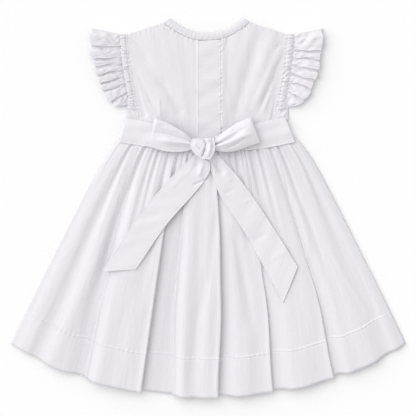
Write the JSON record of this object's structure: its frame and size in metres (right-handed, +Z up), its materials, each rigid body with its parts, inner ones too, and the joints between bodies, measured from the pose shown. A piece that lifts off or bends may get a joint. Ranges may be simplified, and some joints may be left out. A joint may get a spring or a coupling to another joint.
{
  "type": "toddler dress",
  "caption": "Sleeveless toddler dress laid flat on its front: frilled armholes, centre-back placket, sash tied in a bow and a gathered flared skirt.",
  "frame": {"origin": "on the surface the dress lies on, under the middle of its outline", "axes": "+Y towards the neck, +Z up out of the back of the dress, +X to the right as seen from above with the neck at the top"},
  "size_m": [0.5374, 0.5163, 0.0232],
  "materials": {
    "white_cotton": "matt woven cotton"
  },
  "bodies": {
    "root": {"skirt_back": "white_cotton", "skirt_front": "white_cotton", "back_bodice_left": "white_cotton", "back_bodice_right": "white_cotton", "placket": "white_cotton", "front_bodice": "white_cotton", "neckband_back_left": "white_cotton", "neckband_back_right": "white_cotton", "neckband_front": "white_cotton", "armhole_band_left": "white_cotton", "armhole_band_right": "white_cotton", "frill_left": "white_cotton", "frill_right": "white_cotton", "sash_belt_left": "white_cotton", "sash_belt_right": "white_cotton", "bow_loop_left": "white_cotton", "bow_loop_right": "white_cotton", "bow_knot": "white_cotton", "sash_tail_left": "white_cotton", "sash_tail_right": "white_cotton"}
  },
  "joints": []
}
